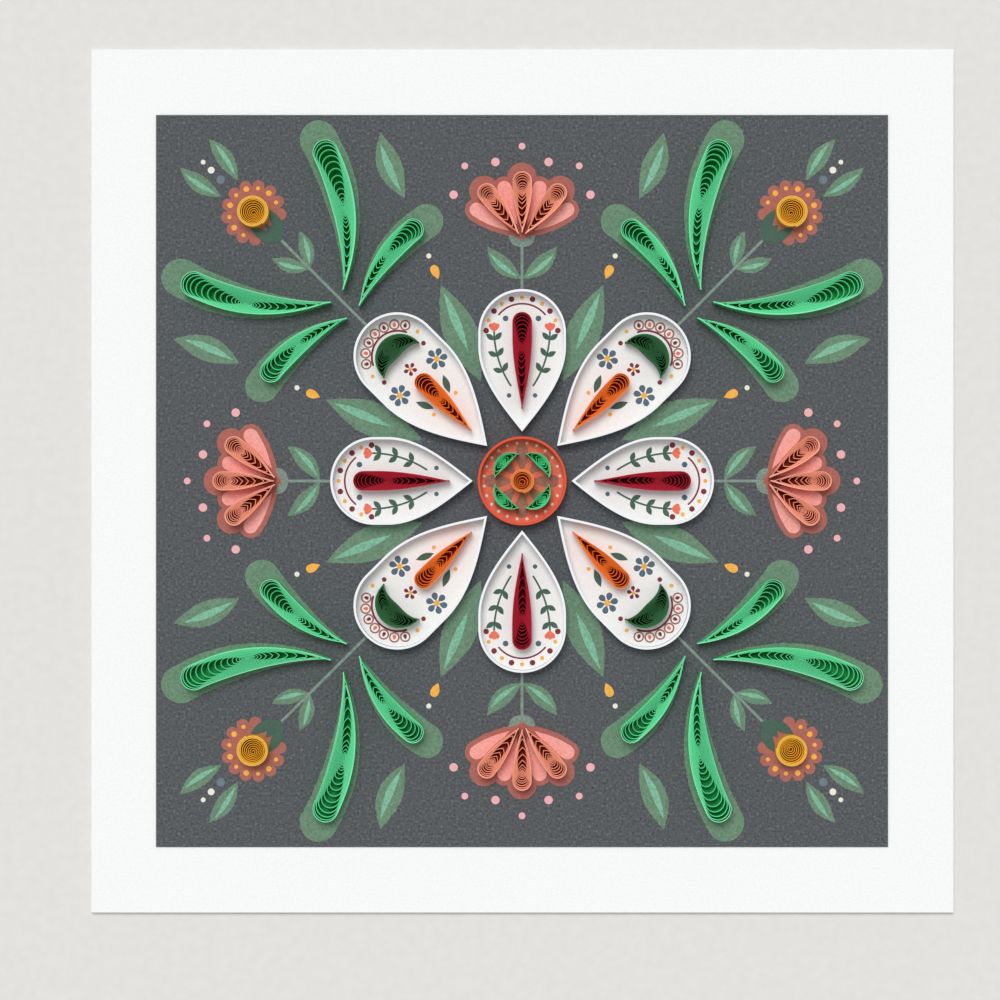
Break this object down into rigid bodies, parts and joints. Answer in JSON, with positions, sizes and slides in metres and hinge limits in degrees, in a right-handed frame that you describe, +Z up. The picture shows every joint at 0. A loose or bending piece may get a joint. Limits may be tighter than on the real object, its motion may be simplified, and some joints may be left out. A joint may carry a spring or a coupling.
{
  "type": "quilled greeting card",
  "caption": "Square folded greeting card whose front has a dark printed panel with a folk blossom and leaf sprays of quilled paper strips glued on edge.",
  "frame": {"origin": "middle of the underside of the back leaf, where the closed card lies on a table", "axes": "+Z up out of the picture, +Y to the top of the picture, the fold along the -X side"},
  "size_m": [0.1524, 0.1524, 0.0044],
  "materials": {
    "white_card": "smooth matt white card",
    "printed_panel": "matt dark grey print with a fine pale speckle",
    "white_strip": "matt white paper, seen on edge",
    "coral_strip": "matt coral paper, seen on edge",
    "orange_strip": "matt orange paper, seen on edge",
    "red_strip": "matt dark red paper, seen on edge",
    "leaf_green_strip": "matt bright green paper, seen on edge",
    "dark_green_strip": "matt dark green paper, seen on edge",
    "petal_coral_strip": "matt pale coral paper, seen on edge",
    "yellow_strip": "matt yellow paper, seen on edge"
  },
  "bodies": {
    "root": {"bud_coil_north_east": "yellow_strip", "bud_coil_north_west": "yellow_strip", "bud_coil_south_east": "yellow_strip", "bud_coil_south_west": "yellow_strip", "centre_coil": "orange_strip", "centre_crescent_north_east": "leaf_green_strip", "centre_crescent_north_west": "leaf_green_strip", "centre_crescent_south_east": "leaf_green_strip", "centre_crescent_south_west": "leaf_green_strip", "centre_ring": "coral_strip", "fan_petal_left_east": "petal_coral_strip", "fan_petal_left_north": "petal_coral_strip", "fan_petal_left_south": "petal_coral_strip", "fan_petal_left_west": "petal_coral_strip", "fan_petal_middle_east": "petal_coral_strip", "fan_petal_middle_north": "petal_coral_strip", "fan_petal_middle_south": "petal_coral_strip", "fan_petal_middle_west": "petal_coral_strip", "fan_petal_right_east": "petal_coral_strip", "fan_petal_right_north": "petal_coral_strip", "fan_petal_right_south": "petal_coral_strip", "fan_petal_right_west": "petal_coral_strip", "folded_card": "white_card", "leaf_long_left_north_east": "leaf_green_strip", "leaf_long_left_north_west": "leaf_green_strip", "leaf_long_left_south_east": "leaf_green_strip", "leaf_long_left_south_west": "leaf_green_strip", "leaf_long_right_north_east": "leaf_green_strip", "leaf_long_right_north_west": "leaf_green_strip", "leaf_long_right_south_east": "leaf_green_strip", "leaf_long_right_south_west": "leaf_green_strip", "leaf_short_left_north_east": "leaf_green_strip", "leaf_short_left_north_west": "leaf_green_strip", "leaf_short_left_south_east": "leaf_green_strip", "leaf_short_left_south_west": "leaf_green_strip", "leaf_short_right_north_east": "leaf_green_strip", "leaf_short_right_north_west": "leaf_green_strip", "leaf_short_right_south_east": "leaf_green_strip", "leaf_short_right_south_west": "leaf_green_strip", "petal_coil_east": "red_strip", "petal_coil_north": "red_strip", "petal_coil_north_east": "orange_strip", "petal_coil_north_west": "orange_strip", "petal_coil_south": "red_strip", "petal_coil_south_east": "orange_strip", "petal_coil_south_west": "orange_strip", "petal_coil_west": "red_strip", "petal_crescent_north_east": "dark_green_strip", "petal_crescent_north_west": "dark_green_strip", "petal_crescent_south_east": "dark_green_strip", "petal_crescent_south_west": "dark_green_strip", "petal_rim_east": "white_strip", "petal_rim_north": "white_strip", "petal_rim_north_east": "white_strip", "petal_rim_north_west": "white_strip", "petal_rim_south": "white_strip", "petal_rim_south_east": "white_strip", "petal_rim_south_west": "white_strip", "petal_rim_west": "white_strip", "picture_panel": "printed_panel"}
  },
  "joints": []
}
